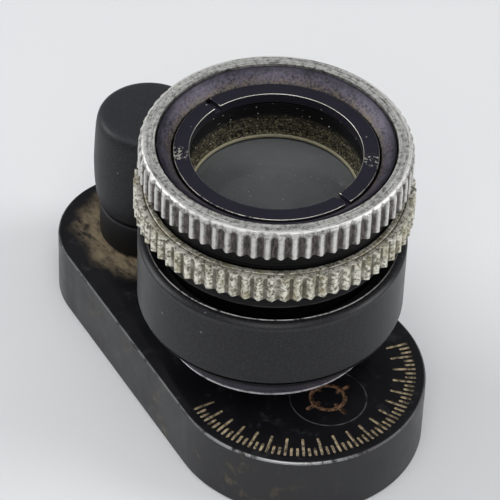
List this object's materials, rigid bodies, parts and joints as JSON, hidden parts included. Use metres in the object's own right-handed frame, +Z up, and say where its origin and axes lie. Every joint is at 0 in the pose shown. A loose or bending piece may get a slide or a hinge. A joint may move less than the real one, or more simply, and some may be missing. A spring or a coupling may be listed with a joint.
{
  "type": "stand loupe",
  "caption": "Focusing magnifier held over a teardrop base plate by a turning pillar, with a knurled eye ring and a knurled lock ring.",
  "frame": {"origin": "on the surface the base plate stands on, at the middle of the object's length and width", "axes": "+X runs along the plate from the pillar towards the loupe, +Z is up, and the XZ plane holds the plate's centreline and the loupe's axis"},
  "size_m": [0.065, 0.0374, 0.0468],
  "materials": {
    "base_black": "satin black steel, worn bright along the top edge, with filled engraving",
    "bronze": "turned bearing bronze",
    "red_fibre": "vulcanised fibre",
    "steel": "turned screw steel",
    "pillar_black": "smooth matt black",
    "black_anodised": "satin black anodised, faintly violet",
    "tube_black": "black anodised, threaded, dusty",
    "lens_glass": "polished optical glass with dust",
    "dish_violet": "black anodised gone violet, dusty, bright on its edges",
    "satin_nickel": "satin nickel plate, knurled",
    "worn_nickel": "nickel worn to brass, knurled"
  },
  "bodies": {
    "base": {"base_plate": "base_black", "pivot_bush": "bronze", "friction_washer": "red_fibre"},
    "head": {"pillar": "pillar_black", "foot_collar": "pillar_black", "pivot_screw": "steel", "bridge_arm": "black_anodised", "arm_screw_left": "steel", "arm_screw_right": "steel", "barrel": "black_anodised", "nose_ring": "black_anodised", "focus_bush": "black_anodised"},
    "lens_group": {"eye_lens": "lens_glass", "field_lens": "lens_glass"},
    "eyepiece": {"focus_tube": "tube_black", "lens_retainer": "black_anodised", "eyecup_dish": "dish_violet", "spanner_ring": "dish_violet", "focus_ring": "satin_nickel"},
    "lock_slider": {"lock_washer": "steel"},
    "lock_nut": {"lock_ring": "worn_nickel"}
  },
  "joints": [
    {"name": "head_swing", "type": "hinge", "parent": "base", "child": "head", "pos_m": [-0.02035, 0.00086, 0.01], "axis": [0, 0, 1], "continuous": true},
    {"name": "focus_travel", "type": "slide", "parent": "head", "child": "lens_group", "axis": [0, 0, 1], "range_m": [-0.0024, 0.0012]},
    {"name": "focus_turn", "type": "hinge", "parent": "lens_group", "child": "eyepiece", "pos_m": [0.0083, 0, 0.04], "axis": [0, 0, 1], "range_deg": [-720, 360]},
    {"name": "lock_travel", "type": "slide", "parent": "head", "child": "lock_slider", "axis": [0, 0, 1], "range_m": [-0.0038, 0]},
    {"name": "lock_turn", "type": "hinge", "parent": "lock_slider", "child": "lock_nut", "pos_m": [0.0083, 0, 0.037], "axis": [0, 0, 1], "range_deg": [-1140, 0]}
  ],
  "couplings": [
    {"joint": "focus_travel", "follows": "focus_turn", "m_per_rad": 0.00019099},
    {"joint": "lock_travel", "follows": "lock_turn", "m_per_rad": 0.00019099}
  ]
}
